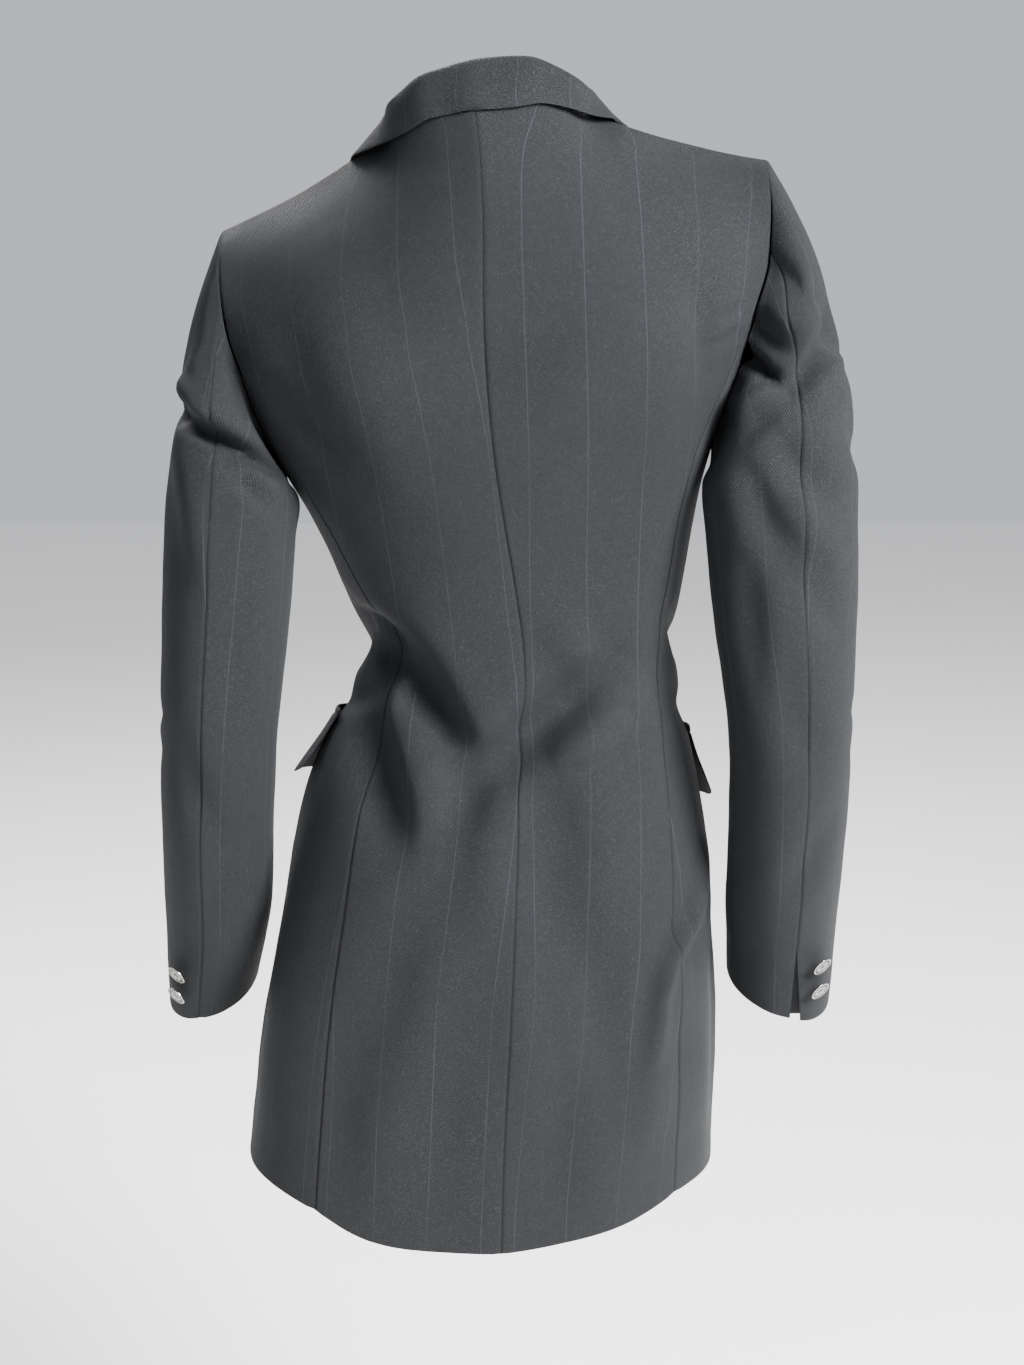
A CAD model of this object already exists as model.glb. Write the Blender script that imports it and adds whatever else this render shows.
"""A long fitted blazer in dark pinstripe wool, worn and buttoned: cloth, folds, seams, buttons."""

import math
from collections import namedtuple

import bmesh
import bpy
import numpy as np
from mathutils import Matrix, Vector, bvhtree, kdtree


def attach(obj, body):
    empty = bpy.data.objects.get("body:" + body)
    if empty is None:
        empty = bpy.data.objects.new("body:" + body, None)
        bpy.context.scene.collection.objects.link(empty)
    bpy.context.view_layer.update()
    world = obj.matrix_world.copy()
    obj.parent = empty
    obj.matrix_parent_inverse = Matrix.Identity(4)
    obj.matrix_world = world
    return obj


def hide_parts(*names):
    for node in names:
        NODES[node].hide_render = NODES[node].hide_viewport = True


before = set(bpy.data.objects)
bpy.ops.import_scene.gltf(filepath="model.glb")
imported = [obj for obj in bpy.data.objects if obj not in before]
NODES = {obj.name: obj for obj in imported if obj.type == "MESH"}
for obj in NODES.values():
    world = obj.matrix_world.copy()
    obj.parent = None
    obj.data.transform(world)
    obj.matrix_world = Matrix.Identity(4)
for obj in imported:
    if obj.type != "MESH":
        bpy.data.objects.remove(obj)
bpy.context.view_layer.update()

# ---------------------------------------------------------------- the cloth's sizes, in metres
SHELL = 0.0011  # thickness of the cloth as it is shown
FINE = 0.0034  # spacing of the shown mesh
EDGE_STEPS = (0.0008, 0.0022)  # rows of points kept close to each cut edge
SEAM_DIP = 0.0011  # how far a sewn edge turns in
SEAM_WIDTH = 0.0021  # and over what width
SEAM_REACH = 0.0050  # edges nearer than this are sewn together
EDGE_DIP = 0.0003  # how far a finished edge turns in
STRIPE_STEP = 0.044  # between pinstripes
STRIPE_WIDTH = 0.0007
WAVE_DEPTH = 0.0005  # of the slight unevenness of the whole cloth
SEAM_LAP = 0.0002  # how far two sewn edges go past each other
SEAM_LINE = 0.0009  # half-width of the dark line along a sewn seam
GRAIN_WINDOW = 13  # rows over which a stripe's course is evened out

# The CAD walls, and how their faces are told from their rims.
WALL = 0.0018  # the CAD cloth's thickness
WALL_SPREAD = (0.5, 1.45)  # an edge across the wall is this share of it
RIM_ANGLES = (None, math.radians(52), math.radians(45), math.radians(40), math.radians(60))

# The collar's fall, by the rows of its grid, which run round the neck from one end to the other.
COLLAR_LIFT = 0.0022  # of the collar's shown face over the cloth under it
RIDGE_ROWS = (6, 18)  # where the edge crosses the shoulders, and lies on the body
BETWEEN_ROWS = (7, 17)  # where the edge is halfway between its neighbours
FALL_TRIM = {7: 0.04, 15: 0.10, 16: 0.22, 17: 0.10}  # how much narrower the fall is at those rows
TAUT_ROWS = {5: 0.5, 6: 1, 7: 1, 8: 0.7, 15: 0.4, 16: 0.8, 17: 1, 18: 1, 19: 0.5}  # how straight it lies
TAUT_FROM = 3  # the column from which the fall is drawn straight to its edge

# The cuff vents.
VENT_LENGTH = {"left": 0.066, "right": 0.080}
OPEN_EDGE = {"top_sleeve_right": 0, "under_sleeve_right": -1}  # the columns of the right vent's edges
VENT_OPEN = 0.0034  # how far the right vent's edge is drawn aside at the cuff
VENT_RISE = 0.0016  # and lifted
VENT_REACH = 0.022  # over which that fades
UNDERLAP_DEPTH = 0.0016  # of the underlap behind the shown cloth at the vent's top
VENT_LAYER = 0.0055  # how much further in the underlap hangs at the cuff than at its top
UNDERLAP_NEAR = 0.008  # how far the underlap runs on behind the under sleeve
UNDERLAP_FAR = 0.013  # and behind the top sleeve

# The buttonholes of the front.
HOLE_LENGTH = 0.026
HOLE_WIDTH = 0.0024
HOLE_STEPS = 36
HOLE_THREAD = 0.0005  # radius of its stitched rim

# Centre lines of the hollows that the panels bend around, from the top down.
BODY_LINE = ((-0.008, -0.075, 0.02), (-0.012, -0.075, -0.20), (-0.030, -0.11, -0.43), (0.0, -0.13, -0.95))
LEFT_ARM = ((0.195, -0.06, -0.05), (0.1915, -0.06, -0.29), (0.2065, -0.06, -0.475), (0.2325, -0.164, -0.76))
RIGHT_ARM = ((-0.22, -0.06, 0.0), (-0.231, -0.06, -0.29), (-0.244, -0.06, -0.475), (-0.251, -0.146, -0.76))

# The pattern pieces. rows and columns are the points of each CAD grid, up and across. line is the
# hollow behind the piece, worn is 1 where its shown face points away from that line. grain is a
# stripe that the others lie beside: heights and places across it, or a share of the way across.
STRIPE_LEFT = (
    (-0.117, 0.060), (-0.262, 0.036), (-0.415, 0.020), (-0.496, 0.011),
    (-0.560, 0.018), (-0.691, 0.035), (-0.898, 0.045),
)
STRIPE_RIGHT = (
    (-0.047, -0.073), (-0.262, -0.081), (-0.343, -0.081),
    (-0.529, -0.085), (-0.680, -0.086), (-0.888, -0.069),
)
Panel = namedtuple("Panel", "node group line worn rows columns grain held rests")
PANELS = (
    Panel("back_left", "body", BODY_LINE, 1, 27, 10, STRIPE_LEFT, "draped", ("side_left",)),
    Panel("back_right", "body", BODY_LINE, 1, 27, 10, STRIPE_RIGHT, "draped", ("side_right",)),
    Panel("side_left", "body", BODY_LINE, 1, 21, 5, 0.45, "draped", ("front_left",)),
    Panel("side_right", "body", BODY_LINE, 1, 21, 5, 0.6, "draped", ("front_right",)),
    Panel("front_left", "body", BODY_LINE, 1, 28, 7, 0.55, "draped", ("back_left",)),
    Panel("front_right", "body", BODY_LINE, 1, 28, 7, 0.45, "draped", ("back_right",)),
    Panel("top_sleeve_left", "left_sleeve", LEFT_ARM, 1, 22, 11, 0.52, "hung", ("front_left",)),
    Panel("top_sleeve_right", "right_sleeve", RIGHT_ARM, 1, 22, 11, 0.47, "hung", ("front_right",)),
    Panel("under_sleeve_left", "left_sleeve", LEFT_ARM, 1, 22, 8, 0.42, "hung", ("side_left",)),
    Panel("under_sleeve_right", "right_sleeve", RIGHT_ARM, 1, 22, 8, 0.58, "hung", ("side_right",)),
    Panel("collar_fall", "collar", BODY_LINE, 1, 25, 9, 0.5, "folded", ("back_left", "back_right")),
    Panel("collar_stand", "collar", BODY_LINE, -1, 11, 3, 0.5, "folded", ("back_left", "back_right")),
    Panel("lapel_left", "lapel", BODY_LINE, 1, 10, 5, 0.6, "folded", ("front_left",)),
    Panel("lapel_right", "lapel", BODY_LINE, 1, 10, 5, 0.4, "folded", ("front_right",)),
    Panel("pocket_flap_left", "flap", BODY_LINE, 1, 4, 8, 0.6, "hung", ("front_left",)),
    Panel("pocket_flap_right", "flap", BODY_LINE, 1, 4, 8, 0.4, "hung", ("front_right",)),
    Panel("pocket_jet_left", "flap", BODY_LINE, 1, 2, 8, 0.6, "laid", ("front_left",)),
    Panel("pocket_jet_right", "flap", BODY_LINE, 1, 2, 8, 0.4, "laid", ("front_right",)),
)

# Creases laid by hand, for each set of pieces and the side that they are seen from squarely. A path's
# points give across and up for the back and front, and fore-and-aft and up for the wearer's left and
# right. depth is inwards for a trough and under 0 for a ridge.
Crease = namedtuple("Crease", "path width depth")
CREASES = {
    # the back: long soft folds that run down into the waist from both sides
    ("body", "back"): (
        Crease(((0.104, -0.400), (0.060, -0.436), (0.022, -0.488), (0.008, -0.528)), 0.015, 0.0048),
        Crease(((0.050, -0.396), (0.020, -0.430), (-0.004, -0.478), (-0.006, -0.520)), 0.016, -0.0022),
        Crease(
            ((-0.100, -0.424), (-0.070, -0.454), (-0.040, -0.478), (0.004, -0.520), (0.024, -0.556)),
            0.015,
            0.0048,
        ),
        Crease(((-0.052, -0.392), (-0.080, -0.424), (-0.092, -0.440)), 0.013, -0.0024),
        Crease(((-0.112, -0.462), (-0.084, -0.486), (-0.052, -0.502)), 0.013, -0.0034),
        Crease(((-0.010, -0.400), (-0.026, -0.440), (-0.018, -0.490)), 0.020, -0.0016),
        Crease(((-0.026, -0.500), (-0.050, -0.540), (-0.060, -0.580), (-0.056, -0.640)), 0.022, 0.0030),
        Crease(((-0.080, -0.510), (-0.096, -0.560), (-0.094, -0.620)), 0.022, -0.0018),
        Crease(((0.100, -0.440), (0.090, -0.488), (0.072, -0.536), (0.062, -0.590)), 0.019, 0.0036),
        Crease(((0.070, -0.470), (0.050, -0.516), (0.036, -0.566)), 0.014, -0.0024),
        Crease(((0.012, -0.508), (0.020, -0.550), (0.030, -0.610)), 0.018, 0.0018),
        Crease(((-0.006, -0.530), (-0.006, -0.580), (0.000, -0.640)), 0.014, -0.0014),
        Crease(
            ((-0.184, -0.598), (-0.171, -0.649), (-0.153, -0.675), (-0.145, -0.707), (-0.143, -0.755)),
            0.006,
            -0.0030,
        ),
        Crease(((-0.172, -0.612), (-0.158, -0.652), (-0.138, -0.690), (-0.130, -0.750)), 0.009, 0.0020),
        Crease(((-0.158, -0.130), (-0.163, -0.163), (-0.166, -0.204)), 0.009, 0.0022),
        Crease(((-0.128, -0.150), (-0.134, -0.210), (-0.132, -0.270)), 0.018, -0.0014),
        Crease(((-0.196, -0.148), (-0.187, -0.156), (-0.176, -0.160)), 0.004, 0.0016),
        Crease(((-0.193, -0.166), (-0.184, -0.176), (-0.172, -0.183)), 0.004, 0.0014),
        Crease(((0.066, -0.410), (0.080, -0.432), (0.088, -0.460)), 0.0055, 0.0020),
        Crease(((0.058, -0.430), (0.068, -0.452), (0.071, -0.476)), 0.0050, -0.0018),
        Crease(((0.100, -0.396), (0.084, -0.402), (0.066, -0.416)), 0.0050, 0.0018),
        Crease(((-0.056, -0.600), (-0.094, -0.680), (-0.112, -0.790)), 0.020, 0.0030),
        Crease(((0.040, -0.590), (0.066, -0.660), (0.086, -0.760)), 0.020, 0.0026),
        Crease(((-0.031, -0.620), (-0.030, -0.710), (-0.044, -0.800)), 0.018, -0.0022),
        Crease(((0.100, -0.690), (0.112, -0.780), (0.118, -0.880)), 0.020, 0.0020),
        Crease(((0.020, -0.720), (0.030, -0.800), (0.028, -0.890)), 0.020, 0.0016),
        Crease(((-0.070, -0.760), (-0.062, -0.830), (-0.064, -0.900)), 0.018, 0.0018),
        Crease(((0.150, -0.150), (0.128, -0.230), (0.088, -0.300)), 0.018, 0.0016),
        Crease(((0.160, -0.205), (0.140, -0.232), (0.110, -0.262)), 0.008, 0.0014),
        Crease(((0.060, -0.060), (0.070, -0.120), (0.064, -0.190)), 0.022, 0.0010),
    ),
    # the front: the same pull from the closed buttons, and the skirt's soft fall
    ("body", "front"): (
        Crease(((-0.088, -0.424), (-0.052, -0.446), (-0.014, -0.452)), 0.009, 0.0030),
        Crease(((-0.080, -0.462), (-0.050, -0.470), (-0.016, -0.462)), 0.008, -0.0018),
        Crease(((0.078, -0.420), (0.044, -0.446), (0.014, -0.456)), 0.010, 0.0032),
        Crease(((-0.074, -0.480), (-0.045, -0.530), (-0.020, -0.600)), 0.014, 0.0030),
        Crease(((0.084, -0.500), (0.066, -0.600), (0.060, -0.720)), 0.018, 0.0030),
        Crease(((0.050, -0.470), (0.030, -0.540), (0.014, -0.590)), 0.013, -0.0020),
        Crease(((-0.100, -0.600), (-0.092, -0.700), (-0.094, -0.830)), 0.020, 0.0026),
        Crease(((0.030, -0.660), (0.036, -0.760), (0.030, -0.870)), 0.018, -0.0022),
        Crease(((-0.056, -0.700), (-0.050, -0.790), (-0.058, -0.880)), 0.018, 0.0018),
        Crease(((-0.156, -0.200), (-0.134, -0.244), (-0.112, -0.300)), 0.011, 0.0026),
        Crease(((0.148, -0.190), (0.126, -0.240), (0.110, -0.310)), 0.011, 0.0022),
        Crease(((-0.080, -0.330), (-0.060, -0.370), (-0.030, -0.410)), 0.013, 0.0018),
    ),
    # the sides, under the arms and over the hips
    ("body", "left"): (
        Crease(((-0.080, -0.400), (-0.120, -0.432), (-0.160, -0.440)), 0.010, 0.0028),
        Crease(((-0.070, -0.452), (-0.112, -0.476), (-0.150, -0.474)), 0.012, 0.0022),
        Crease(((-0.110, -0.600), (-0.116, -0.700), (-0.108, -0.840)), 0.020, 0.0026),
    ),
    ("body", "right"): (
        Crease(((-0.076, -0.396), (-0.116, -0.424), (-0.152, -0.426)), 0.010, 0.0026),
        Crease(((-0.074, -0.450), (-0.110, -0.482), (-0.148, -0.486)), 0.012, 0.0024),
        Crease(((-0.124, -0.640), (-0.120, -0.740), (-0.128, -0.860)), 0.020, 0.0024),
    ),
    # the left sleeve: one fold right across the upper arm, softer ones below it
    ("left_sleeve", "back"): (
        Crease(
            ((0.246, -0.228), (0.222, -0.240), (0.197, -0.250), (0.175, -0.262), (0.152, -0.278)),
            0.0050,
            0.0062,
        ),
        Crease(((0.236, -0.206), (0.205, -0.226), (0.172, -0.248)), 0.0075, -0.0040),
        Crease(((0.182, -0.266), (0.170, -0.276), (0.156, -0.288)), 0.0040, -0.0034),
        Crease(((0.180, -0.280), (0.168, -0.290), (0.156, -0.302)), 0.0050, 0.0028),
        Crease(((0.230, -0.252), (0.216, -0.300), (0.206, -0.360)), 0.012, -0.0020),
        Crease(((0.240, -0.262), (0.236, -0.310), (0.232, -0.360)), 0.010, 0.0022),
        Crease(((0.172, -0.330), (0.186, -0.400), (0.188, -0.480)), 0.014, 0.0024),
        Crease(((0.240, -0.470), (0.222, -0.530), (0.200, -0.580)), 0.014, 0.0022),
        Crease(((0.200, -0.560), (0.212, -0.620), (0.226, -0.660)), 0.012, 0.0016),
    ),
    ("left_sleeve", "front"): (
        Crease(((0.166, -0.440), (0.196, -0.462), (0.240, -0.452)), 0.007, 0.0040),
        Crease(((0.168, -0.478), (0.200, -0.492), (0.242, -0.480)), 0.006, 0.0030),
        Crease(((0.166, -0.412), (0.190, -0.428), (0.232, -0.424)), 0.007, -0.0020),
        Crease(((0.160, -0.290), (0.186, -0.326), (0.228, -0.336)), 0.011, 0.0030),
        Crease(((0.156, -0.180), (0.176, -0.230), (0.180, -0.280)), 0.009, 0.0026),
    ),
    ("left_sleeve", "left"): (
        Crease(((-0.112, -0.436), (-0.078, -0.462), (-0.046, -0.470)), 0.008, 0.0034),
        Crease(((-0.112, -0.500), (-0.082, -0.506), (-0.054, -0.498)), 0.008, 0.0026),
        Crease(((-0.040, -0.160), (-0.056, -0.220), (-0.050, -0.300)), 0.014, 0.0022),
        Crease(((-0.096, -0.226), (-0.064, -0.236), (-0.030, -0.230)), 0.008, 0.0026),
    ),
    # the right sleeve: a deep pinch behind the armhole, ridges that fan out from it
    ("right_sleeve", "back"): (
        Crease(((-0.184, -0.176), (-0.198, -0.190), (-0.214, -0.203), (-0.230, -0.212)), 0.0055, 0.0064),
        Crease(((-0.186, -0.236), (-0.200, -0.222), (-0.216, -0.213), (-0.230, -0.210)), 0.0065, -0.0046),
        Crease(((-0.232, -0.207), (-0.248, -0.192), (-0.262, -0.172), (-0.274, -0.150)), 0.0070, 0.0048),
        Crease(((-0.244, -0.216), (-0.264, -0.198), (-0.280, -0.178)), 0.0075, -0.0030),
        Crease(((-0.214, -0.118), (-0.236, -0.140), (-0.262, -0.152)), 0.009, 0.0036),
        Crease(((-0.212, -0.150), (-0.232, -0.166), (-0.256, -0.170)), 0.009, -0.0028),
        Crease(((-0.200, -0.160), (-0.214, -0.176), (-0.228, -0.186)), 0.006, 0.0024),
        Crease(((-0.190, -0.252), (-0.204, -0.240), (-0.224, -0.232)), 0.008, 0.0026),
        Crease(((-0.213, -0.238), (-0.239, -0.271), (-0.272, -0.298)), 0.014, 0.0040),
        Crease(((-0.195, -0.262), (-0.214, -0.309), (-0.234, -0.350)), 0.013, 0.0036),
        Crease(((-0.230, -0.290), (-0.252, -0.322), (-0.280, -0.344)), 0.012, -0.0026),
        Crease(((-0.240, -0.340), (-0.262, -0.374), (-0.284, -0.410)), 0.015, 0.0030),
        Crease(((-0.200, -0.330), (-0.206, -0.400), (-0.214, -0.460)), 0.012, 0.0024),
        Crease(((-0.228, -0.400), (-0.240, -0.460), (-0.262, -0.510)), 0.014, 0.0020),
        Crease(((-0.278, -0.540), (-0.262, -0.590), (-0.246, -0.630)), 0.014, 0.0020),
    ),
    ("right_sleeve", "front"): (
        Crease(((-0.206, -0.446), (-0.240, -0.466), (-0.286, -0.456)), 0.007, 0.0040),
        Crease(((-0.210, -0.484), (-0.246, -0.496), (-0.288, -0.486)), 0.006, 0.0030),
        Crease(((-0.204, -0.418), (-0.236, -0.434), (-0.280, -0.426)), 0.007, -0.0020),
        Crease(((-0.196, -0.300), (-0.230, -0.326), (-0.276, -0.330)), 0.011, 0.0030),
        Crease(((-0.200, -0.170), (-0.212, -0.230), (-0.214, -0.290)), 0.009, 0.0028),
    ),
    ("right_sleeve", "right"): (
        Crease(((-0.108, -0.440), (-0.076, -0.462), (-0.048, -0.466)), 0.008, 0.0034),
        Crease(((-0.110, -0.500), (-0.084, -0.510), (-0.058, -0.500)), 0.008, 0.0026),
        Crease(((-0.030, -0.150), (-0.046, -0.190), (-0.080, -0.220)), 0.010, 0.0030),
        Crease(((-0.020, -0.230), (-0.050, -0.262), (-0.090, -0.270)), 0.012, 0.0026),
    ),
}
# How much deeper and wider than that each set's creases are laid.
FOLD_SHARE = {"body": 2.8, "left_sleeve": 1.9, "right_sleeve": 2.0}
FOLD_SPREAD = {"body": 1.25, "left_sleeve": 1.1, "right_sleeve": 1.1}


# ---------------------------------------------------------------- reading the CAD's grids
def line_point(line, z):
    """The point of a centre line, given from the top down, at a height."""
    for high, low in zip(line, line[1:]):
        if z >= low[2]:
            t = min(1.0, (high[2] - z) / (high[2] - low[2]))
            return Vector(high).lerp(Vector(low), max(0.0, t))
    return Vector(line[-1])


def sheets_of(node, rim_angle):
    """The sheets of a CAD wall, parted at its rim: by the rim's short edges, or by a sharp turn."""
    solid = bmesh.new()
    solid.from_mesh(NODES[node].data)
    bmesh.ops.remove_doubles(solid, verts=solid.verts, dist=1e-6)
    bmesh.ops.dissolve_degenerate(solid, edges=solid.edges, dist=1e-6)
    left = set(solid.faces)
    if rim_angle is None:
        low, high = (share * WALL for share in WALL_SPREAD)
        left -= {face for edge in solid.edges if low < edge.calc_length() < high for face in edge.link_faces}
    sheets = []
    while left:
        stack = [left.pop()]
        found = []
        while stack:
            face = stack.pop()
            found.append(face)
            for edge in face.edges:
                if rim_angle is not None and edge.calc_face_angle(4) > rim_angle:
                    continue
                for other in edge.link_faces:
                    if other in left:
                        left.remove(other)
                        stack.append(other)
        sheets.append([([v.index for v in f.verts], f.normal.copy(), f.calc_area()) for f in found])
    points = [v.co.copy() for v in solid.verts]
    solid.free()
    return points, sheets


def worn_sheet(panel):
    """The points and triangles of the face that shows, picked out of a panel's closed wall."""
    wanted = 2 * (panel.rows - 1) * (panel.columns - 1)
    for rim_angle in RIM_ANGLES:
        points, sheets = sheets_of(panel.node, rim_angle)

        def outwards(sheet):
            total = 0
            for corners, normal, area in sheet:
                middle = sum((points[i] for i in corners), Vector()) / 3
                total += area * normal.dot(middle - line_point(panel.line, middle.z))
            return total * panel.worn

        for sheet in sheets:
            if len(sheet) == wanted and outwards(sheet) > 0:
                return points, sheet
    raise RuntimeError(f"{panel.node}: no sheet of {wanted} triangles")


def border_of(triangles):
    """The points round a sheet's edge, in order."""
    seen = {}
    for (a, b, c), _, _ in triangles:
        for i, j in ((a, b), (b, c), (c, a)):
            seen[(i, j)] = True
    pairs = {i: j for (i, j) in seen if (j, i) not in seen}
    start = min(pairs)
    loop = [start]
    while pairs[loop[-1]] != start:
        loop.append(pairs[loop[-1]])
    return loop


def read_grid(panel):
    """The worn face as a grid of points, lowest row first, with its normals pointing outwards."""
    points, triangles = worn_sheet(panel)
    loop = border_of(triangles)
    rows, columns = panel.rows, panel.columns
    assert len(loop) == 2 * (rows + columns) - 4, (panel.node, len(loop))

    def turning(k):
        before, here, after = (points[loop[(k + s) % len(loop)]] for s in (-1, 0, 1))
        return (here - before).angle(after - here, 0)

    steps = (0, columns - 1, columns + rows - 2, 2 * columns + rows - 3)
    best = max(range(len(loop)), key=lambda k: sum(turning(k + s) for s in steps))
    ring = loop[best:] + loop[:best]
    bottom = ring[:columns]
    left = [ring[0]] + ring[:0:-1][: rows - 1]
    by_edge = {}
    for corners, _, _ in triangles:
        for i in range(3):
            by_edge.setdefault(frozenset((corners[i], corners[i - 1])), []).append(frozenset(corners))
    used = set()

    def third(a, b):
        for face in by_edge[frozenset((a, b))]:
            if face not in used:
                used.add(face)
                return next(iter(face - {a, b}))

    grid = [bottom]
    for r in range(1, rows):
        line = [left[r]]
        for c in range(1, columns):
            below, beside = grid[-1][c], line[-1]
            corner = grid[-1][c - 1]
            far = third(corner, below)
            if far == beside:
                far = third(beside, below)
            else:
                used.add(frozenset((corner, beside, far)))
            line.append(far)
        grid.append(line)
    found = np.array([[points[i] for i in line] for line in grid], float)
    if found[-1, :, 2].mean() < found[0, :, 2].mean():
        found = found[::-1, ::-1]
    return found


# ---------------------------------------------------------------- the shown cloth
def through(values, at):
    """A smooth curve through unevenly spaced points, read at any places between their numbers."""
    gaps = np.diff(values, axis=0)
    spans = np.maximum(np.linalg.norm(gaps, axis=2, keepdims=True), 1e-7)
    slopes = gaps / spans
    inner = (spans[1:] * slopes[:-1] + spans[:-1] * slopes[1:]) / (spans[1:] + spans[:-1])
    first = 1.5 * slopes[:1] - 0.5 * (inner[:1] if len(inner) else slopes[:1])
    last = 1.5 * slopes[-1:] - 0.5 * (inner[-1:] if len(inner) else slopes[-1:])
    slopes = np.concatenate([first, inner, last])
    cell = np.clip(np.floor(at).astype(int), 0, len(values) - 2)
    t = (at - cell)[:, None, None]
    span = spans[cell]
    return (
        (1 + 2 * t) * (1 - t) ** 2 * values[cell]
        + t * (1 - t) ** 2 * span * slopes[cell]
        + t * t * (3 - 2 * t) * values[cell + 1]
        - t * t * (1 - t) * span * slopes[cell + 1]
    )


def places(grid):
    """Where along the grid's first direction the fine rows lie: close at the edges, even between."""
    lengths = np.linalg.norm(np.diff(grid, axis=0), axis=2).mean(axis=1)
    at = [0.0]
    for cell, length in enumerate(lengths):
        count = max(2, round(length / FINE))
        at += [cell + (k + 1) / count for k in range(count)]
    near = [step / lengths[0] for step in EDGE_STEPS]
    far = [len(lengths) - step / lengths[-1] for step in EDGE_STEPS]
    at = [p for p in at if p == 0 or p == len(lengths) or near[-1] * 1.3 < p < far[-1] - near[-1] * 0.3]
    return np.array(sorted(set(at + near + far)))


def refined(grid):
    """The grid's smooth surface at the fine spacing, and the fine rows' and columns' places."""
    rows = places(grid)
    columns = places(grid.transpose(1, 0, 2))
    tall = through(grid, rows)
    fine = through(tall.transpose(1, 0, 2), columns).transpose(1, 0, 2)
    return fine, rows, columns


def arc(points, axis):
    """Length along each line of the grid from its start."""
    steps = np.linalg.norm(np.diff(points, axis=axis), axis=2)
    shape = list(steps.shape)
    shape[axis] = 1
    return np.concatenate([np.zeros(shape), np.cumsum(steps, axis=axis)], axis=axis)


def normals_of(points, line, worn):
    """The outward direction at each point, and whether the grid already turns that way."""
    across = np.gradient(points, axis=1)
    up = np.gradient(points, axis=0)
    normal = np.cross(across, up)
    normal /= np.maximum(np.linalg.norm(normal, axis=2, keepdims=True), 1e-12)
    middle = np.array([[line_point(line, z) for z in row] for row in points[:, :, 2]])
    side = np.sum(normal * (points - middle)) * worn
    return normal if side > 0 else -normal, side > 0


def rise(low, high, value):
    """A smooth step from 0 at low to 1 at high."""
    t = np.clip((value - low) / (high - low), 0, 1)
    return t * t * (3 - 2 * t)


def crease_depth(crease, group, seen_from, points, normal):
    """How far each point is pressed in by one crease."""
    if seen_from in ("left", "right"):
        flat = points[:, :, 1:]
        facing = normal[:, :, 0] * (1 if seen_from == "left" else -1)
    else:
        flat = points[:, :, (0, 2)]
        facing = normal[:, :, 1] * (1 if seen_from == "back" else -1)
    path = np.array(crease.path)
    width = crease.width * FOLD_SPREAD[group]
    spans = np.linalg.norm(np.diff(path, axis=0), axis=1)
    total = spans.sum()
    nearest = np.full(flat.shape[:2], 1e9)
    along = np.zeros(flat.shape[:2])
    done = 0.0
    for a, b, span in zip(path, path[1:], spans):
        t = np.clip(((flat - a) @ (b - a)) / span**2, 0, 1)
        away = np.linalg.norm(flat - a - t[:, :, None] * (b - a), axis=2)
        closer = away < nearest
        nearest = np.where(closer, away, nearest)
        along = np.where(closer, (done + t * span) / total, along)
        done += span
    taper = np.sin(np.pi * np.clip(0.06 + 0.88 * along, 0, 1)) ** 0.8
    pressed = FOLD_SHARE[group] * crease.depth * taper * np.exp(-((nearest / width) ** 2))
    return pressed * rise(0.0, 0.4, facing)


def unevenness(points):
    """Broad, slight waves, so that no stretch of cloth is quite even."""
    x, y, z = (points[:, :, i] for i in range(3))
    wave = np.sin(31 * x + 17 * z + 1.3) * np.sin(23 * z - 11 * y + 0.4)
    wave += 0.6 * np.sin(57 * x - 29 * z + 2.1 + 19 * y) * np.sin(41 * z + 37 * y)
    wave += 0.35 * np.sin(97 * x + 61 * z) * np.sin(83 * z - 71 * y + 0.9)
    return WAVE_DEPTH * wave


def edge_distance(points):
    """Distance of each point from the nearest edge of its panel."""
    rows, columns = arc(points, 0), arc(points, 1)
    up = np.minimum(rows, rows[-1:] - rows)
    over = np.minimum(columns, columns[:, -1:] - columns)
    return np.minimum(up, over)


def grain_start(points, across, columns, panel):
    """How far along each row the panel's straight stripe crosses it."""
    if isinstance(panel.grain, float):
        place = panel.grain * (panel.columns - 1)
        return np.array([np.interp(place, columns, line) for line in across])
    heights, sides = zip(*panel.grain[::-1])
    apart = points[:, :, 0] - np.interp(points[:, :, 2], heights, sides)
    if apart[:, -1].mean() < apart[:, 0].mean():
        apart = -apart
    found = np.array([np.interp(0, row, line) for row, line in zip(apart, across)])
    smooth = np.pad(found, GRAIN_WINDOW // 2, mode="edge")
    return np.convolve(smooth, np.ones(GRAIN_WINDOW) / GRAIN_WINDOW, mode="valid")


def pattern_places(points, columns, panel):
    """Each point's place on the flat cloth: across from a stripe, and along the grain."""
    flat = np.zeros(points.shape[:2] + (2,))
    if panel.group == "collar":
        flat[:, :, 0] = arc(points, 0) - arc(points, 0)[points.shape[0] // 2] + STRIPE_STEP * 0.38
        flat[:, :, 1] = arc(points, 1)
        return flat
    across = arc(points, 1)
    flat[:, :, 0] = across - grain_start(points, across, columns, panel)[:, None]
    flat[:, :, 1] = arc(points, 0)[:, points.shape[1] // 2][:, None]
    return flat


def body_faces():
    """The body pieces' CAD faces, to lay the collar over."""
    points, faces = [], []
    for node in ("back_left", "back_right", "front_left", "front_right"):
        first = len(points)
        mesh = NODES[node].data
        points += [NODES[node].matrix_world @ corner.co for corner in mesh.vertices]
        faces += [[first + i for i in face.vertices] for face in mesh.polygons]
    return bvhtree.BVHTree.FromPolygons(points, faces)


def off_body(point, body):
    """The point, raised until it clears the shoulder under it."""
    top, _, _, _ = body.ray_cast(Vector(point) + Vector((0, 0, 0.05)), Vector((0, 0, -1)), 0.1)
    if top is not None and point[2] < top.z + COLLAR_LIFT:
        point[2] = top.z + COLLAR_LIFT
    return point


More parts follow.
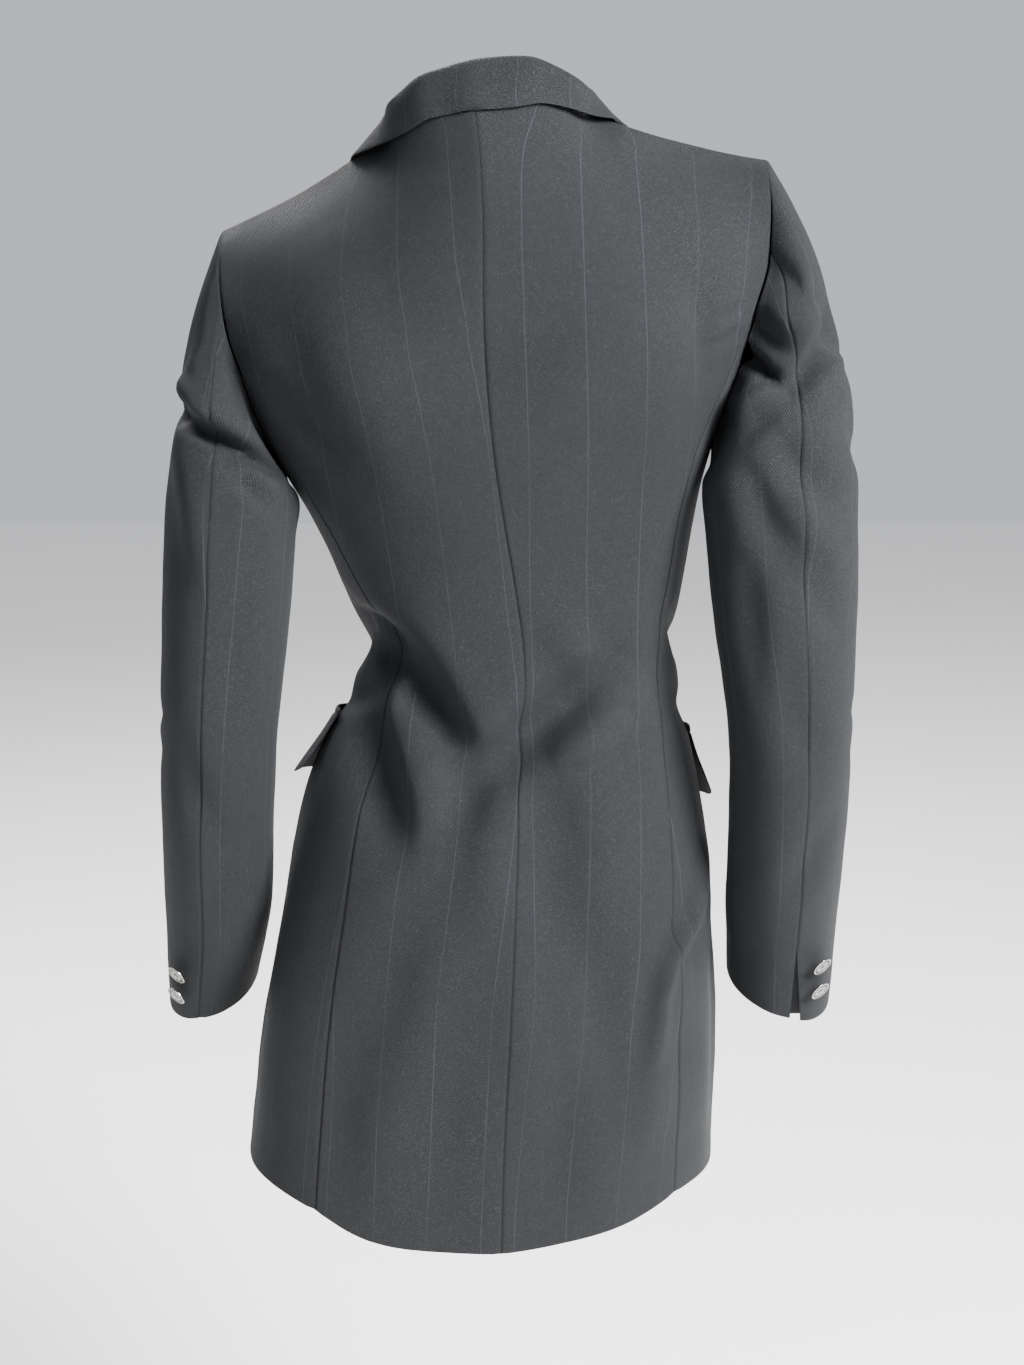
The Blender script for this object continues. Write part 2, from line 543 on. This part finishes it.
def straight_edge(grid, body):
    """The collar's grid with its outer edge lying straight over each shoulder."""
    grid = grid.copy()
    for row in RIDGE_ROWS:
        place, normal, _, _ = body.find_nearest(Vector(grid[row, -1]))
        grid[row, -1] = place + normal * COLLAR_LIFT
    for row in BETWEEN_ROWS:
        grid[row, -1] = 0.5 * (grid[row - 1, -1] + grid[row + 1, -1])
    for row, share in FALL_TRIM.items():
        grid[row, -1] -= (grid[row, -1] - grid[row, TAUT_FROM]) * share
    last = grid.shape[1] - 1
    for row, share in TAUT_ROWS.items():
        for c in range(TAUT_FROM + 1, last + 1):
            run = grid[row, -1] - grid[row, TAUT_FROM]
            taut = grid[row, TAUT_FROM] + run * (c - TAUT_FROM) / (last - TAUT_FROM)
            grid[row, c] = off_body(grid[row, c] + (taut - grid[row, c]) * share, body)
    return grid


class Laid:
    """A panel's shown face, finely divided, before and after its folds."""

    def __init__(self, panel, body):
        self.panel = panel
        grid = read_grid(panel)
        if panel.node == "collar_fall":
            grid = straight_edge(grid, body)
        self.points, _, self.columns = refined(grid)
        self.normal, self.outward = normals_of(self.points, panel.line, panel.worn)
        rows, count = self.points.shape[:2]
        ring = [(0, c) for c in range(count)] + [(r, count - 1) for r in range(1, rows)]
        ring += [(rows - 1, c) for c in range(count - 2, -1, -1)] + [(r, 0) for r in range(rows - 2, 0, -1)]
        depth = -unevenness(self.points) * (1.0 if panel.group in FOLD_SHARE else 0.25)
        for (group, seen_from), creases in CREASES.items():
            if group != panel.group:
                continue
            for crease in creases:
                depth = depth + crease_depth(crease, group, seen_from, self.points, self.normal)
        self.folded = self.points - self.normal * depth[:, :, None]
        if panel.node == "top_sleeve_right":
            self.folded = vent_spread(self.folded, self.normal)
        self.ring = ring
        self.border = np.array([self.folded[at] for at in ring])


def close_seams(pieces):
    """Draws every sewn edge over to its neighbour's edge, and says which edge points are sewn."""
    everyone = [(piece, i) for piece in pieces for i in range(len(piece.ring))]
    tree = kdtree.KDTree(len(everyone))
    for number, (piece, i) in enumerate(everyone):
        tree.insert(piece.border[i], number)
    tree.balance()
    for piece in pieces:
        pull = np.zeros_like(piece.points)
        sewn = np.zeros(piece.points.shape[:2])
        height = arc(piece.points, 0)
        for at, here in zip(piece.ring, piece.border):
            if at[1] == OPEN_EDGE.get(piece.panel.node, -1) % piece.points.shape[1]:
                if piece.panel.node in OPEN_EDGE and height[at] < VENT_LENGTH["right"]:
                    continue
            best, goal = SEAM_REACH, None
            for _, number, _ in tree.find_range(here, SEAM_REACH + 2 * FINE):
                other, i = everyone[number]
                if other is piece:
                    continue
                a, b = other.border[i], other.border[(i + 1) % len(other.border)]
                run = b - a
                t = min(1.0, max(0.0, float((here - a) @ run / max(run @ run, 1e-12))))
                away = float(np.linalg.norm(a + t * run - here))
                if away < best:
                    best, goal = away, a + t * run
            if goal is not None:
                pull[at] = (goal - here) * (0.5 + SEAM_LAP / max(best, 2 * SEAM_LAP))
                sewn[at] = 1
        piece.pull, piece.sewn = spread_in(pull), spread_in(sewn[:, :, None])[:, :, 0]


def spread_in(field):
    """Carries values on a grid's border two points inwards, fading."""
    near, mid = field.copy(), field.copy()
    for share, ring in ((0.7, 1), (0.25, 2)):
        if min(field.shape[:2]) <= 2 * ring + 1:
            break
        inner = slice(ring, -ring)
        mid[ring, inner] = field[0, inner] * share
        mid[-1 - ring, inner] = field[-1, inner] * share
        mid[inner, ring] = np.where(np.abs(field[inner, 0]) > 0, field[inner, 0] * share, mid[inner, ring])
        mid[inner, -1 - ring] = np.where(
            np.abs(field[inner, -1]) > 0, field[inner, -1] * share, mid[inner, -1 - ring]
        )
    mid[0], mid[-1], mid[:, 0], mid[:, -1] = near[0], near[-1], near[:, 0], near[:, -1]
    return mid


def squares(rows, count, flipped=False):
    """The faces between the points of a grid."""
    corners = [r * count + c for r in range(rows - 1) for c in range(count - 1)]
    quads = [(a, a + 1, a + count + 1, a + count) for a in corners]
    return [quad[::-1] for quad in quads] if flipped else quads


def shell(name, grid, flat, flipped, outer, inner, seam_line=None):
    """A grid of points as a thin shell of cloth, which carries its places on the flat cloth."""
    mesh = bpy.data.meshes.new(name)
    mesh.from_pydata(grid.reshape(-1, 3).tolist(), [], squares(*grid.shape[:2], flipped))
    layer = mesh.uv_layers.new(name="flat_cloth")
    corners = np.zeros(len(mesh.loops), int)
    mesh.loops.foreach_get("vertex_index", corners)
    layer.data.foreach_set("uv", flat.reshape(-1, 2)[corners].ravel())
    if seam_line is not None:
        shade = mesh.attributes.new("seam_line", "FLOAT", "POINT")
        shade.data.foreach_set("value", seam_line.ravel())
    mesh.materials.append(outer)
    mesh.materials.append(inner)
    shown = bpy.data.objects.new(name, mesh)
    bpy.context.scene.collection.objects.link(shown)
    finish_shell(shown)
    return shown


def cloth_piece(piece, cloth, lining):
    """One pattern piece as a thin shell with its folds, on its CAD wall's form."""
    panel, fine = piece.panel, piece.points
    flat = pattern_places(fine, piece.columns, panel)
    from_edge = edge_distance(fine)
    dip = (EDGE_DIP + (SEAM_DIP - EDGE_DIP) * piece.sewn) * (1 - rise(0, SEAM_WIDTH, from_edge))
    moved = piece.folded + piece.pull - piece.normal * dip[:, :, None]
    piece.moved = moved
    seam_line = piece.sewn * np.exp(-((from_edge / SEAM_LINE) ** 2))
    inner = lining if panel.group in FOLD_SHARE else cloth
    shown = shell("cloth_" + panel.node, moved, flat, not piece.outward, cloth, inner, seam_line)
    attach(shown, "root")
    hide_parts(panel.node)


def vent_underlap(under, top, cloth):
    """The strip sewn to the under sleeve's vent edge, which lies behind the open vent."""
    side = under.panel.node.rsplit("_")[-1]
    first = side == "left"
    near = under.moved if first else under.moved[:, ::-1]
    far = top.moved[:, ::-1] if first else top.moved
    near_normal = under.normal if first else under.normal[:, ::-1]
    far_normal = top.normal[:, ::-1] if first else top.normal
    rows = int(np.searchsorted(arc(near, 0)[:, 0], VENT_LENGTH[side]))
    lines = []
    for r in range(rows):
        reach = np.linalg.norm(near[r] - near[r, 0], axis=1)
        a = int(np.searchsorted(reach, UNDERLAP_NEAR))
        drop = UNDERLAP_DEPTH + VENT_LAYER * (1 - r / rows)
        start = near[r, a] - near_normal[r, a] * drop
        mid = near[r, 0] - near_normal[r, 0] * drop
        match = int(np.argmin(np.linalg.norm(far[:, 0] - near[r, 0], axis=1)))
        span = np.linalg.norm(far[match] - far[match, 0], axis=1)
        b = int(np.searchsorted(span, UNDERLAP_FAR))
        end = far[match, b] - far_normal[match, b] * drop
        over = far[match, b // 2] - far_normal[match, b // 2] * drop
        lines.append([start, mid, 0.5 * (mid + over), over, end])
    strip = np.array(lines)
    flat = np.stack([arc(strip, 1), arc(strip, 0)], axis=-1)
    shown = shell("cloth_vent_underlap_" + side, strip, flat, not first, cloth, cloth)
    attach(shown, "root")


def vent_spread(points, normal):
    """The right sleeve's vent edge, which stands a little open towards the cuff."""
    points = points.copy()
    height = arc(points, 0)
    across = arc(points, 1)
    open_share = np.clip(1 - height[:, :1] / VENT_LENGTH["right"], 0, 1) ** 1.2
    near = np.exp(-((across / VENT_REACH) ** 2))
    sideways = np.gradient(points, axis=1)
    sideways /= np.maximum(np.linalg.norm(sideways, axis=2, keepdims=True), 1e-9)
    share = (open_share * near)[:, :, None]
    return points + sideways * share * VENT_OPEN + normal * share * VENT_RISE


def finish_shell(piece):
    """Gives a sheet its thickness, inwards, and smooth shading with crisp cut edges."""
    bpy.ops.object.select_all(action="DESELECT")
    piece.select_set(True)
    bpy.context.view_layer.objects.active = piece
    shell = piece.modifiers.new("thickness", "SOLIDIFY")
    shell.thickness = SHELL
    shell.offset = -1
    shell.use_even_offset = False
    shell.material_offset = 1
    bpy.ops.object.modifier_apply(modifier=shell.name)
    bpy.ops.object.shade_smooth_by_angle(angle=math.radians(50))


# ---------------------------------------------------------------- buttons
RIM = 0.0105  # radius of the large buttons; the small ones are scaled from it
TURNED = 40  # facets round a button
RIBS = 10  # pairs of raised and sunk fields round its face


def darkened(corner):
    """How dark the tarnish is at a corner of the button: 1 in its rings."""
    reach = math.hypot(corner.x, corner.y) / RIM
    if 0.66 < reach < 0.84 or 0.20 < reach < 0.34:
        return 1.0
    return 0.55 if reach < 0.9 and corner.z < 0.0013 else 0.0


def button_blank(metal):
    """One cast button, facing up: a rounded rim, a sunk ribbed field and an arch on its raised centre.

    The arch was meant as the shank behind the disc, but the spin turns it out of the face. So nothing
    behind the disc reaches the cloth. Spun by -pi it would lie behind.
    """
    bpy.ops.object.select_all(action="DESELECT")
    radius = RIM * 0.93
    bpy.ops.mesh.primitive_circle_add(vertices=TURNED, radius=radius, fill_type="NGON", location=(0, 0, 0))
    blank = bpy.context.object
    bpy.ops.object.mode_set(mode="EDIT")
    bpy.ops.mesh.select_mode(type="FACE")
    steps = (
        (0.0006, RIM * 0.07),
        (0.0007, 0.0),
        (0.0004, -RIM * 0.045),
        (0.0001, -RIM * 0.085),
        (-0.0006, -RIM * 0.055),
        (0.0, -RIM * 0.05),
        (0.00025, -RIM * 0.02),
        (0.0, -RIM * 0.26),
        (0.00035, -RIM * 0.05),
        (-0.0002, -RIM * 0.05),
        (0.0, -RIM * 0.09),
        (0.0004, -RIM * 0.07),
        (0.0001, -RIM * 0.09),
    )
    for lift, widen in steps:
        share = (radius + widen) / radius
        radius += widen
        bpy.ops.mesh.extrude_region_move(TRANSFORM_OT_translate={"value": (0, 0, lift)})
        bpy.ops.transform.resize(value=(share, share, 1))
    ribbed = bmesh.from_edit_mesh(blank.data)
    for face in ribbed.faces:
        middle = face.calc_center_median()
        reach = math.hypot(middle.x, middle.y) / RIM
        turn = math.floor((math.atan2(middle.y, middle.x) / (2 * math.pi) + 1) * TURNED)
        face.select_set(0.42 < reach < 0.72 and face.normal.z > 0.9 and turn % (TURNED // RIBS) < 2)
    ribbed.select_flush_mode()
    bmesh.update_edit_mesh(blank.data)
    bpy.ops.mesh.inset(thickness=0.00012, depth=0.00028)
    bpy.ops.object.mode_set(mode="OBJECT")
    blank.data.materials.append(metal)
    bpy.ops.object.select_all(action="DESELECT")
    bpy.ops.mesh.primitive_circle_add(
        vertices=12, radius=0.00075, fill_type="NOTHING", location=(0.0021, 0, 0.0002)
    )
    loop = bpy.context.object
    bpy.ops.object.transform_apply(location=True, rotation=True, scale=True)
    bpy.ops.object.mode_set(mode="EDIT")
    bpy.ops.mesh.select_all(action="SELECT")
    bpy.ops.mesh.spin(steps=14, angle=math.pi, center=(0, 0, 0.0002), axis=(0, 1, 0))
    bpy.ops.mesh.select_all(action="SELECT")
    bpy.ops.mesh.normals_make_consistent(inside=False)
    bpy.ops.object.mode_set(mode="OBJECT")
    loop.data.materials.append(metal)
    blank.select_set(True)
    bpy.context.view_layer.objects.active = blank
    bpy.ops.object.join()
    worn = blank.data.attributes.new("hollow", "FLOAT", "POINT")
    worn.data.foreach_set("value", [darkened(corner.co) for corner in blank.data.vertices])
    edges = blank.modifiers.new("soft_edges", "BEVEL")
    edges.width = 0.00012
    edges.segments = 2
    edges.angle_limit = math.radians(35)
    bpy.ops.object.modifier_apply(modifier=edges.name)
    bpy.ops.object.shade_smooth_by_angle(angle=math.radians(38))
    return blank


def button_place(node):
    """Where a CAD button is: the middle of its disc's back, the way it faces and its radius."""
    corners = np.array([NODES[node].matrix_world @ v.co for v in NODES[node].data.vertices])
    middle = corners.mean(axis=0)
    spread, ways = np.linalg.eigh(np.cov((corners - middle).T))
    odd = 0 if abs(spread[1] - spread[2]) < abs(spread[1] - spread[0]) else 2
    way = ways[:, odd]
    along = (corners - middle) @ way
    across = np.linalg.norm(corners - middle - np.outer(along, way), axis=1)
    radius = across.max()
    disc = along[across > radius * 0.9]
    if abs(along.max() - disc.mean()) > abs(along.min() - disc.mean()):
        way, disc = -way, -disc
    return Vector(middle + way * disc.min()), Vector(way), radius


def button(node, blank, tilt):
    """A copy of the blank in a CAD button's place."""
    at, way, radius = button_place(node)
    shown = bpy.data.objects.new("metal_" + node, blank.data.copy())
    bpy.context.scene.collection.objects.link(shown)
    size = radius / RIM
    turn = way.to_track_quat("Z", "Y").to_matrix().to_4x4() @ Matrix.Rotation(math.radians(tilt), 4, "Z")
    shown.data.transform(Matrix.Translation(at) @ turn @ Matrix.Scale(size, 4))
    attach(shown, "root")
    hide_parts(node)


def stitched(name, path, radius, material, sides=6):
    """A thread laid along a path, its ends drawn to points."""
    path = [Vector(p) for p in path]
    rings = []
    for i, here in enumerate(path):
        run = (path[min(i + 1, len(path) - 1)] - path[max(i - 1, 0)]).normalized()
        side = run.orthogonal().normalized()
        over = run.cross(side)
        thin = 0.25 if i in (0, len(path) - 1) else 1.0
        rings.append(
            [here + (side * math.cos(t) + over * math.sin(t)) * radius * thin
             for t in (2 * math.pi * k / sides for k in range(sides))]
        )
    points = [p for ring in rings for p in ring]
    faces = []
    for i in range(len(rings) - 1):
        for k in range(sides):
            a, b = i * sides + k, i * sides + (k + 1) % sides
            faces.append((a, b, b + sides, a + sides))
    faces.append(tuple(range(sides - 1, -1, -1)))
    faces.append(tuple(len(points) - sides + k for k in range(sides)))
    mesh = bpy.data.meshes.new(name)
    mesh.from_pydata(points, [], faces)
    mesh.materials.append(material)
    laid = bpy.data.objects.new(name, mesh)
    bpy.context.scene.collection.objects.link(laid)
    shape = bmesh.new()
    shape.from_mesh(mesh)
    bmesh.ops.recalc_face_normals(shape, faces=shape.faces)
    shape.to_mesh(mesh)
    shape.free()
    mesh.shade_smooth()
    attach(laid, "root")


# ---------------------------------------------------------------- buttonholes
def front_faces(piece):
    """The shown cloth of the front that buttons over the other."""
    faces = squares(*piece.moved.shape[:2])
    return bvhtree.BVHTree.FromPolygons([Vector(p) for p in piece.moved.reshape(-1, 3)], faces)


def buttonhole(number, front, material):
    """The stitched rim of a buttonhole, which shows beside its button."""
    at, _, _ = button_place("front_button_%d" % number)
    path = []
    for step in range(HOLE_STEPS + 1):
        turn = 2 * math.pi * step / HOLE_STEPS
        x = at.x - HOLE_LENGTH * 0.42 + HOLE_LENGTH * 0.5 * math.cos(turn)
        z = at.z + HOLE_WIDTH * 0.5 * math.sin(turn)
        place, normal, _, _ = front.find_nearest(Vector((x, at.y - 0.002, z)))
        if normal.y > 0:
            normal = -normal
        path.append(place + normal * 0.0001)
    stitched("thread_buttonhole_%d" % number, path, HOLE_THREAD, material)


# ---------------------------------------------------------------- materials
class Nodes:
    """Short ways to add shader nodes."""

    def __init__(self, name):
        self.material = bpy.data.materials.new(name)
        self.material.use_nodes = True
        self.tree = self.material.node_tree
        self.shader = self.tree.nodes["Principled BSDF"]

    def new(self, kind, **settings):
        node = self.tree.nodes.new(kind)
        for key, value in settings.items():
            setattr(node, key, value)
        return node

    def link(self, output, socket):
        self.tree.links.new(output, socket)

    def maths(self, operation, a, b=None, c=None):
        node = self.new("ShaderNodeMath", operation=operation)
        for socket, value in zip(node.inputs, (a, b, c)):
            if value is None:
                continue
            if isinstance(value, (int, float)):
                socket.default_value = value
            else:
                self.link(value, socket)
        return node.outputs[0]

    def spread(self, value, low, high, to_low=0.0, to_high=1.0):
        node = self.new("ShaderNodeMapRange", interpolation_type="SMOOTHSTEP")
        self.link(value, node.inputs["Value"])
        node.inputs["From Min"].default_value = low
        node.inputs["From Max"].default_value = high
        node.inputs["To Min"].default_value = to_low
        node.inputs["To Max"].default_value = to_high
        return node.outputs["Result"]

    def noise(self, vector, scale, detail=3.0, roughness=0.5):
        node = self.new("ShaderNodeTexNoise")
        if vector is not None:
            self.link(vector, node.inputs["Vector"])
        node.inputs["Scale"].default_value = scale
        node.inputs["Detail"].default_value = detail
        node.inputs["Roughness"].default_value = roughness
        return node.outputs["Fac"]

    def mix(self, share, a, b):
        node = self.new("ShaderNodeMix", data_type="RGBA")
        sockets = [s for s in node.inputs if s.type == "RGBA"]
        if isinstance(share, (int, float)):
            node.inputs[0].default_value = share
        else:
            self.link(share, node.inputs[0])
        for socket, value in zip(sockets, (a, b)):
            if isinstance(value, tuple):
                socket.default_value = value
            else:
                self.link(value, socket)
        return [s for s in node.outputs if s.type == "RGBA"][0]

    def bump(self, height, strength, distance):
        node = self.new("ShaderNodeBump")
        node.inputs["Strength"].default_value = strength
        node.inputs["Distance"].default_value = distance
        self.link(height, node.inputs["Height"])
        self.link(node.outputs["Normal"], self.shader.inputs["Normal"])


# Colours of the finishes, and the pitches of the weave in metres.
CLOTH_DARK = (0.0028, 0.0031, 0.0037, 1)
CLOTH_LIGHT = (0.0142, 0.0150, 0.0168, 1)
CLOTH_WORN = (0.0100, 0.0106, 0.0119, 1)
CLOTH_FUZZ = (0.060, 0.062, 0.066, 1)
STRIPE_COLOUR = (0.027, 0.031, 0.042, 1)
SEAM_COLOUR = (0.0015, 0.0016, 0.0019, 1)
LINING_DARK = (0.004, 0.004, 0.005, 1)
LINING_LIGHT = (0.009, 0.009, 0.011, 1)
NICKEL_DARK = (0.24, 0.235, 0.22, 1)
NICKEL_LIGHT = (0.36, 0.35, 0.33, 1)
TARNISH = (0.012, 0.012, 0.012, 1)
PIN_PITCH = 0.0014  # of the stitches that make a pinstripe
TWILL_PITCH = 0.0011
WEFT_PITCH = 0.0006


def suiting():
    """Dark worsted twill with a fine pale pinstripe that runs along the grain."""
    cloth = Nodes("pinstripe_wool")
    place = cloth.new("ShaderNodeUVMap", uv_map="flat_cloth").outputs["UV"]
    apart = cloth.new("ShaderNodeSeparateXYZ")
    cloth.link(place, apart.inputs[0])
    across, along = apart.outputs[0], apart.outputs[1]
    where = cloth.new("ShaderNodeTexCoord").outputs["Object"]
    step = cloth.maths("FRACT", cloth.maths("MULTIPLY_ADD", across, 1 / STRIPE_STEP, 0.5))
    off = cloth.maths("MULTIPLY", cloth.maths("ABSOLUTE", cloth.maths("SUBTRACT", step, 0.5)), STRIPE_STEP)
    stripe = cloth.spread(off, STRIPE_WIDTH * 0.35, STRIPE_WIDTH * 0.75, 1.0, 0.0)
    pin = cloth.maths("SINE", cloth.maths("MULTIPLY", along, 2 * math.pi / PIN_PITCH))
    stripe = cloth.maths("MULTIPLY", stripe, cloth.spread(pin, -1, 0.6, 0.35, 1.0))
    fade = cloth.spread(cloth.noise(where, 9, 2), 0.35, 0.65, 0.45, 1.0)
    stripe = cloth.maths("MULTIPLY", stripe, fade)
    slant = cloth.maths("ADD", across, cloth.maths("MULTIPLY", along, 0.62))
    twill = cloth.maths("SINE", cloth.maths("MULTIPLY", slant, 2 * math.pi / TWILL_PITCH))
    cross = cloth.maths("SINE", cloth.maths("MULTIPLY", along, 2 * math.pi / WEFT_PITCH))
    weave = cloth.maths("ADD", cloth.maths("MULTIPLY", twill, 0.7), cloth.maths("MULTIPLY", cross, 0.3))
    fibre = cloth.noise(where, 1100, 3, 0.7)
    broad = cloth.noise(where, 7, 3, 0.55)
    dark = cloth.mix(cloth.spread(weave, -1, 1), CLOTH_DARK, CLOTH_LIGHT)
    worn = cloth.mix(cloth.spread(broad, 0.35, 0.68, 0.0, 0.35), dark, CLOTH_WORN)
    fuzzy = cloth.mix(cloth.spread(fibre, 0.48, 0.72, 0.0, 0.36), worn, CLOTH_FUZZ)
    colour = cloth.mix(cloth.maths("MULTIPLY", stripe, 0.85), fuzzy, STRIPE_COLOUR)
    seam = cloth.new("ShaderNodeAttribute", attribute_name="seam_line").outputs["Fac"]
    colour = cloth.mix(cloth.maths("MULTIPLY", seam, 0.55), colour, SEAM_COLOUR)
    cloth.link(colour, cloth.shader.inputs["Base Color"])
    rough = cloth.spread(broad, 0.3, 0.7, 0.52, 0.60)
    rough = cloth.maths("ADD", rough, cloth.maths("MULTIPLY", fibre, 0.12))
    cloth.link(rough, cloth.shader.inputs["Roughness"])
    cloth.shader.inputs["Specular IOR Level"].default_value = 0.19
    cloth.shader.inputs["IOR"].default_value = 1.28
    cloth.shader.inputs["Sheen Weight"].default_value = 0.03
    cloth.shader.inputs["Sheen Roughness"].default_value = 0.5
    cloth.shader.inputs["Sheen Tint"].default_value = (0.62, 0.66, 0.74, 1)
    height = cloth.maths("ADD", weave, cloth.maths("MULTIPLY", fibre, 1.2))
    height = cloth.maths("ADD", height, cloth.maths("MULTIPLY", cloth.noise(where, 160, 4), 1.5))
    cloth.bump(height, 0.8, 0.00028)
    return cloth.material


def lining_satin():
    """Smooth dark lining, as the inside of the body and sleeves shows."""
    satin = Nodes("lining_satin")
    where = satin.new("ShaderNodeTexCoord").outputs["Object"]
    cloud = satin.noise(where, 24, 3)
    colour = satin.mix(satin.spread(cloud, 0.3, 0.7), LINING_DARK, LINING_LIGHT)
    satin.link(colour, satin.shader.inputs["Base Color"])
    satin.link(satin.spread(cloud, 0.3, 0.7, 0.56, 0.68), satin.shader.inputs["Roughness"])
    satin.shader.inputs["Specular IOR Level"].default_value = 0.2
    satin.shader.inputs["IOR"].default_value = 1.3
    satin.bump(satin.noise(where, 900, 3), 0.25, 0.0002)
    return satin.material


def button_metal():
    """Polished nickel, finely brushed in rings and a little darkened in its hollows."""
    metal = Nodes("button_nickel")
    where = metal.new("ShaderNodeTexCoord").outputs["Object"]
    cloud = metal.noise(where, 320, 4)
    colour = metal.mix(metal.spread(cloud, 0.35, 0.7), NICKEL_DARK, NICKEL_LIGHT)
    hollow = metal.new("ShaderNodeAttribute", attribute_name="hollow").outputs["Fac"]
    colour = metal.mix(metal.spread(hollow, 0.0, 1.0, 0.0, 0.92), colour, TARNISH)
    metal.link(colour, metal.shader.inputs["Base Color"])
    metal.shader.inputs["Metallic"].default_value = 1.0
    metal.link(metal.spread(cloud, 0.3, 0.8, 0.20, 0.30), metal.shader.inputs["Roughness"])
    metal.bump(metal.noise(where, 1400, 2), 0.04, 0.00005)
    return metal.material


def floor_paper():
    """Pale matt paper."""
    paper = Nodes("pale_paper")
    where = paper.new("ShaderNodeTexCoord").outputs["Object"]
    tone = paper.mix(paper.noise(where, 3, 2), (0.86, 0.86, 0.86, 1), (0.90, 0.90, 0.89, 1))
    paper.link(tone, paper.shader.inputs["Base Color"])
    paper.shader.inputs["Roughness"].default_value = 0.9
    return paper.material


# ---------------------------------------------------------------- the studio
CAMERA_AT = (-0.0243, 1.6542, -0.0395)
CAMERA_DOWN = 13.4  # degrees
FOCAL_SHARE = 2236 / 1365  # focal length over the picture's height
FLOOR = -1.46  # under the feet of a standing wearer


def lamp(name, at, towards, size, power, colour):
    """A soft rectangular lamp at a place, aimed at another."""
    data = bpy.data.lights.new(name, "AREA")
    data.shape = "RECTANGLE"
    data.size, data.size_y = size
    data.energy = power
    data.color = colour
    lamp_object = bpy.data.objects.new(name, data)
    bpy.context.scene.collection.objects.link(lamp_object)
    lamp_object.location = at
    lamp_object.rotation_euler = (Vector(towards) - Vector(at)).to_track_quat("-Z", "Y").to_euler()


def studio():
    """The camera, the daylight, three lamps and the floor."""
    data = bpy.data.cameras.new("camera")
    data.sensor_fit = "VERTICAL"
    data.sensor_height = 36
    data.lens = 36 * FOCAL_SHARE
    camera = bpy.data.objects.new("camera", data)
    bpy.context.scene.collection.objects.link(camera)
    camera.location = CAMERA_AT
    camera.rotation_euler = (math.radians(90 - CAMERA_DOWN), 0, math.pi)
    bpy.context.scene.camera = camera
    world = bpy.data.worlds.new("soft_daylight")
    world.use_nodes = True
    world.node_tree.nodes["Background"].inputs["Color"].default_value = (0.93, 0.95, 1.0, 1)
    world.node_tree.nodes["Background"].inputs["Strength"].default_value = 0.68
    bpy.context.scene.world = world
    lamp("key", (-1.85, 1.6, 1.05), (0, 0, -0.45), (1.0, 1.3), 620, (1, 0.99, 0.97))
    lamp("fill", (1.0, 2.6, 1.5), (0, 0, -0.45), (1.0, 1.0), 24, (0.96, 0.98, 1))
    lamp("front", (0.7, -2.0, 1.6), (0, 0, -0.4), (1.4, 1.4), 190, (1, 1, 1))
    bpy.ops.object.select_all(action="DESELECT")
    bpy.ops.mesh.primitive_plane_add(size=14, location=(0, 0, FLOOR))
    floor = bpy.context.object
    floor.name = "floor"
    bpy.ops.object.transform_apply(location=True, rotation=True, scale=True)
    floor.data.materials.append(floor_paper())


# ---------------------------------------------------------------- the build
bpy.ops.object.select_all(action="DESELECT")
wool = suiting()
satin = lining_satin()
nickel = button_metal()
body = body_faces()
laid = [Laid(panel, body) for panel in PANELS]
close_seams(laid)
for piece in laid:
    cloth_piece(piece, wool, satin)
by_node = {piece.panel.node: piece for piece in laid}
front = front_faces(by_node["front_right"])
for number in (1, 2, 3):
    buttonhole(number, front, wool)
for side in ("left", "right"):
    vent_underlap(by_node["under_sleeve_" + side], by_node["top_sleeve_" + side], wool)
blank = button_blank(nickel)
for number, node in enumerate(sorted(NODES)):
    if "button" in node:
        button(node, blank, 23 * number)
bpy.data.objects.remove(blank)
studio()
